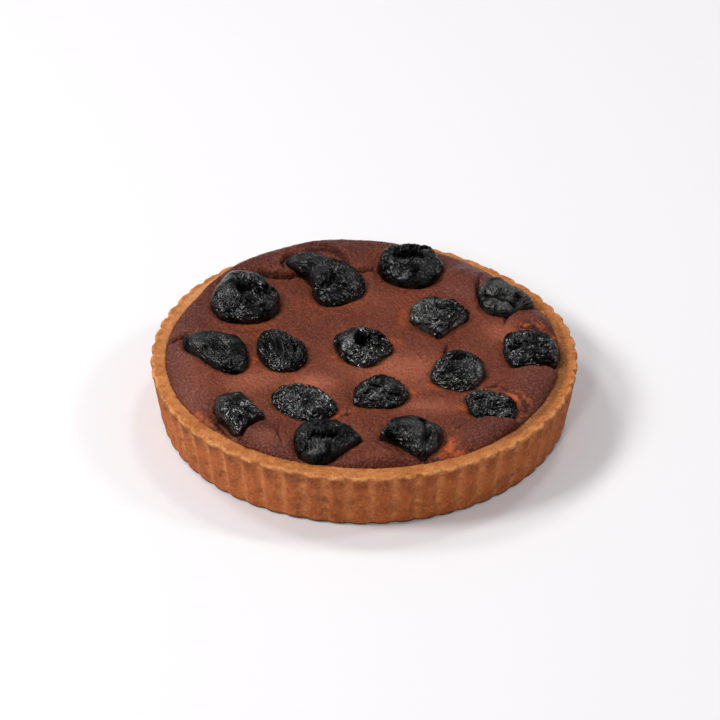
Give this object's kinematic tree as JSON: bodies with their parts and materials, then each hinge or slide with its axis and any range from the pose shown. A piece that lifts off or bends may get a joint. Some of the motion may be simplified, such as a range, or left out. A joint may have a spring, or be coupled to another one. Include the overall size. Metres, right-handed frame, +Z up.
{
  "type": "prune tart",
  "caption": "Round uncut tart: fluted shortcrust shell, puffed brown baked filling and whole dark prunes half sunk in its top.",
  "frame": {"origin": "centre of the flat underside, on the surface the tart rests on", "axes": "+Z up out of the filling, -Y towards the front of the tart, +X to the right"},
  "size_m": [0.2174, 0.2176, 0.0432],
  "materials": {
    "crust": "baked shortcrust, dry, matte and crumbly, golden on the rim and browner down the flutes",
    "filling": "baked brown filling with a soft satin skin, finely pitted and cracked",
    "prune": "near-black wrinkled prune skin, glossy on the folds and matte in the hollows"
  },
  "bodies": {
    "root": {"tart_shell": "crust", "filling": "filling", "prune_01": "prune", "prune_02": "prune", "prune_03": "prune", "prune_04": "prune", "prune_05": "prune", "prune_06": "prune", "prune_07": "prune", "prune_08": "prune", "prune_09": "prune", "prune_10": "prune", "prune_11": "prune", "prune_12": "prune", "prune_13": "prune", "prune_14": "prune", "prune_15": "prune", "prune_16": "prune"}
  },
  "joints": []
}
